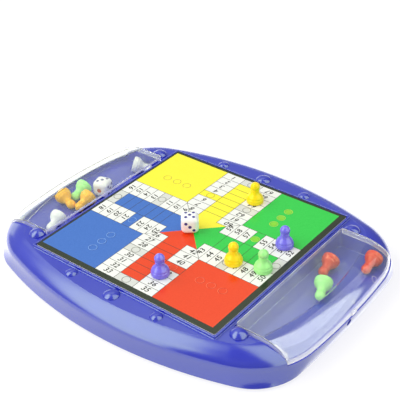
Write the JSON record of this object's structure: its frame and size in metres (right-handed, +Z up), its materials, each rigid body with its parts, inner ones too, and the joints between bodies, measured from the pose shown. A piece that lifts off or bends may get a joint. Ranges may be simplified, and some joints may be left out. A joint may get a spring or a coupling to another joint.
{
  "type": "board game case",
  "caption": "Four-arm race board game in a blue plastic case, with clear hinged lids over two side compartments, pawns and dice.",
  "frame": {"origin": "on the table under the middle of the case, centre of the bounding box's base", "axes": "+X towards the right compartment, along the case's length; +Y from front to back; +Z up"},
  "size_m": [0.2872, 0.2308, 0.0455],
  "materials": {
    "case_plastic": "moulded blue-violet plastic with a soft gloss",
    "cover_plastic": "moulded blue plastic, finely grained",
    "board_print": "printed and varnished card",
    "clear_plastic": "clear moulded plastic, polished",
    "screw_steel": "zinc-plated steel",
    "pawn_yellow": "moulded plastic, glossy",
    "pawn_orange": "moulded plastic, glossy",
    "pawn_green": "moulded plastic, glossy",
    "pawn_violet": "moulded plastic, glossy",
    "pawn_red": "moulded plastic, glossy",
    "pawn_white": "moulded plastic, glossy",
    "die_white": "moulded plastic, glossy"
  },
  "bodies": {
    "case": {"top_case": "case_plastic", "board_card": "board_print", "bottom_cover": "cover_plastic", "case_screw_1": "screw_steel", "case_screw_2": "screw_steel", "case_screw_3": "screw_steel", "case_screw_4": "screw_steel", "case_screw_5": "screw_steel", "case_screw_6": "screw_steel"},
    "lid_left": {"lid_left": "clear_plastic"},
    "lid_right": {"lid_right": "clear_plastic"},
    "pawn_yellow_rear": {"pawn_yellow_rear": "pawn_yellow"},
    "pawn_yellow_front": {"pawn_yellow_front": "pawn_yellow"},
    "pawn_green_board": {"pawn_green_board": "pawn_green"},
    "pawn_violet_right": {"pawn_violet_right": "pawn_violet"},
    "pawn_violet_left": {"pawn_violet_left": "pawn_violet"},
    "die_board": {"die_board": "die_white"},
    "pawn_red_inner": {"pawn_red_inner": "pawn_red"},
    "pawn_green_right": {"pawn_green_right": "pawn_green"},
    "pawn_red_outer": {"pawn_red_outer": "pawn_red"},
    "pawn_white_front": {"pawn_white_front": "pawn_white"},
    "pawn_orange_outer": {"pawn_orange_outer": "pawn_orange"},
    "pawn_orange_inner": {"pawn_orange_inner": "pawn_orange"},
    "pawn_green_left": {"pawn_green_left": "pawn_green"},
    "pawn_white_rear": {"pawn_white_rear": "pawn_white"},
    "die_tray": {"die_tray": "die_white"}
  },
  "joints": [
    {"name": "lid_left_hinge", "type": "hinge", "parent": "case", "child": "lid_left", "pos_m": [-0.0947, 0, 0.026], "axis": [0, 1, 0], "range_deg": [0, 100]},
    {"name": "lid_right_hinge", "type": "hinge", "parent": "case", "child": "lid_right", "pos_m": [0.0947, 0, 0.026], "axis": [0, -1, 0], "range_deg": [0, 100]},
    {"name": "pawn_yellow_rear_lift", "type": "slide", "parent": "case", "child": "pawn_yellow_rear", "axis": [0, 0, 1], "range_m": [0, 0.04]},
    {"name": "pawn_yellow_front_lift", "type": "slide", "parent": "case", "child": "pawn_yellow_front", "axis": [0, 0, 1], "range_m": [0, 0.04]},
    {"name": "pawn_green_board_lift", "type": "slide", "parent": "case", "child": "pawn_green_board", "axis": [0, 0, 1], "range_m": [0, 0.04]},
    {"name": "pawn_violet_right_lift", "type": "slide", "parent": "case", "child": "pawn_violet_right", "axis": [0, 0, 1], "range_m": [0, 0.04]},
    {"name": "pawn_violet_left_lift", "type": "slide", "parent": "case", "child": "pawn_violet_left", "axis": [0, 0, 1], "range_m": [0, 0.04]},
    {"name": "die_board_lift", "type": "slide", "parent": "case", "child": "die_board", "axis": [0, 0, 1], "range_m": [0, 0.04]},
    {"name": "pawn_red_inner_slide", "type": "slide", "parent": "case", "child": "pawn_red_inner", "axis": [0, 1, 0], "range_m": [0, 0.022]},
    {"name": "pawn_green_right_slide", "type": "slide", "parent": "case", "child": "pawn_green_right", "axis": [0, -1, 0], "range_m": [0, 0.05]},
    {"name": "pawn_red_outer_slide", "type": "slide", "parent": "case", "child": "pawn_red_outer", "axis": [0, -1, 0], "range_m": [0, 0.024]},
    {"name": "pawn_white_front_slide", "type": "slide", "parent": "case", "child": "pawn_white_front", "axis": [0, -1, 0], "range_m": [0, 0.012]},
    {"name": "pawn_orange_outer_slide", "type": "slide", "parent": "case", "child": "pawn_orange_outer", "axis": [0, -1, 0], "range_m": [0, 0.008]},
    {"name": "pawn_orange_inner_slide", "type": "slide", "parent": "case", "child": "pawn_orange_inner", "axis": [0, 1, 0], "range_m": [0, 0.004]},
    {"name": "pawn_green_left_slide", "type": "slide", "parent": "case", "child": "pawn_green_left", "axis": [0, 1, 0], "range_m": [0, 0.003]},
    {"name": "pawn_white_rear_slide", "type": "slide", "parent": "case", "child": "pawn_white_rear", "axis": [-1, 0, 0], "range_m": [0, 0.012]},
    {"name": "die_tray_slide", "type": "slide", "parent": "case", "child": "die_tray", "axis": [0, 1, 0], "range_m": [0, 0.024]}
  ]
}
